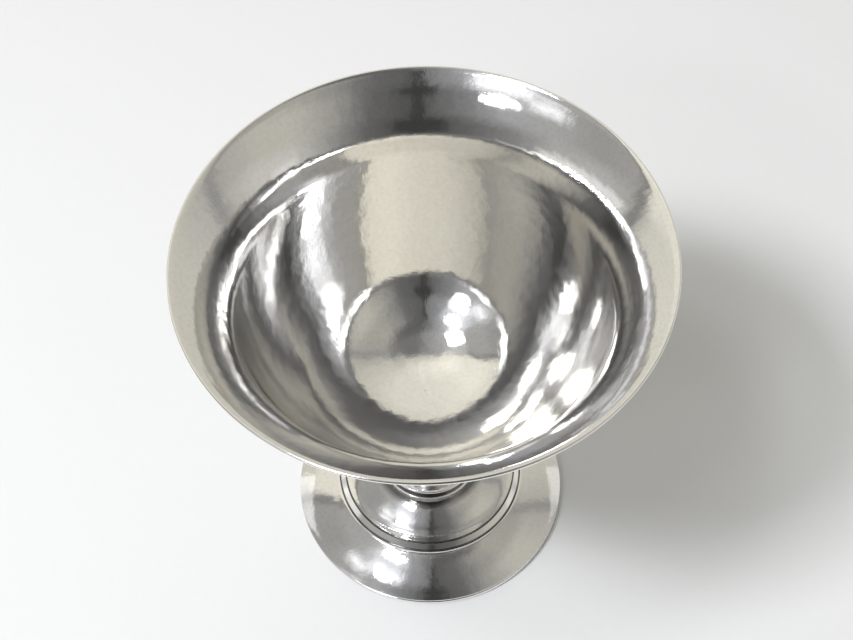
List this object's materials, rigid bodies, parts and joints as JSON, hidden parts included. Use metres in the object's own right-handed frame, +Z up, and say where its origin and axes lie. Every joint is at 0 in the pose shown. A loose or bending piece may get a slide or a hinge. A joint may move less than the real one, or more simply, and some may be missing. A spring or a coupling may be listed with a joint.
{
  "type": "communion chalice",
  "caption": "Wide-mouthed footed cup in hammered silver: flared bowl, short stem with knop, domed foot with engraved rings, held by a rod.",
  "frame": {"origin": "centre of the foot's underside, on the table", "axes": "+Z up along the turning axis; the object is the same all round, so +X and +Y are free choices"},
  "size_m": [0.15, 0.15, 0.1465],
  "materials": {
    "bowl": "polished hand-raised silver, planished, inside and out",
    "stem_silver": "polished turned and raised silver",
    "foot_silver": "polished hand-raised silver with tarnish in the engraved lines",
    "hidden_silver": "plain unpolished silver, soldered inside",
    "fastening": "plain machined metal"
  },
  "bodies": {
    "root": {"bowl": "bowl", "bowl_boss": "hidden_silver", "upper_collar": "stem_silver", "upper_stem": "stem_silver", "knop_upper_shell": "stem_silver", "knop_lower_shell": "stem_silver", "knop_band": "stem_silver", "knop_sleeve": "hidden_silver", "lower_stem": "stem_silver", "base_collar": "stem_silver", "foot": "foot_silver", "foot_ring": "foot_silver", "clamp_plate": "fastening", "washer": "fastening", "clamp_nut": "fastening", "tie_rod": "fastening"}
  },
  "joints": []
}
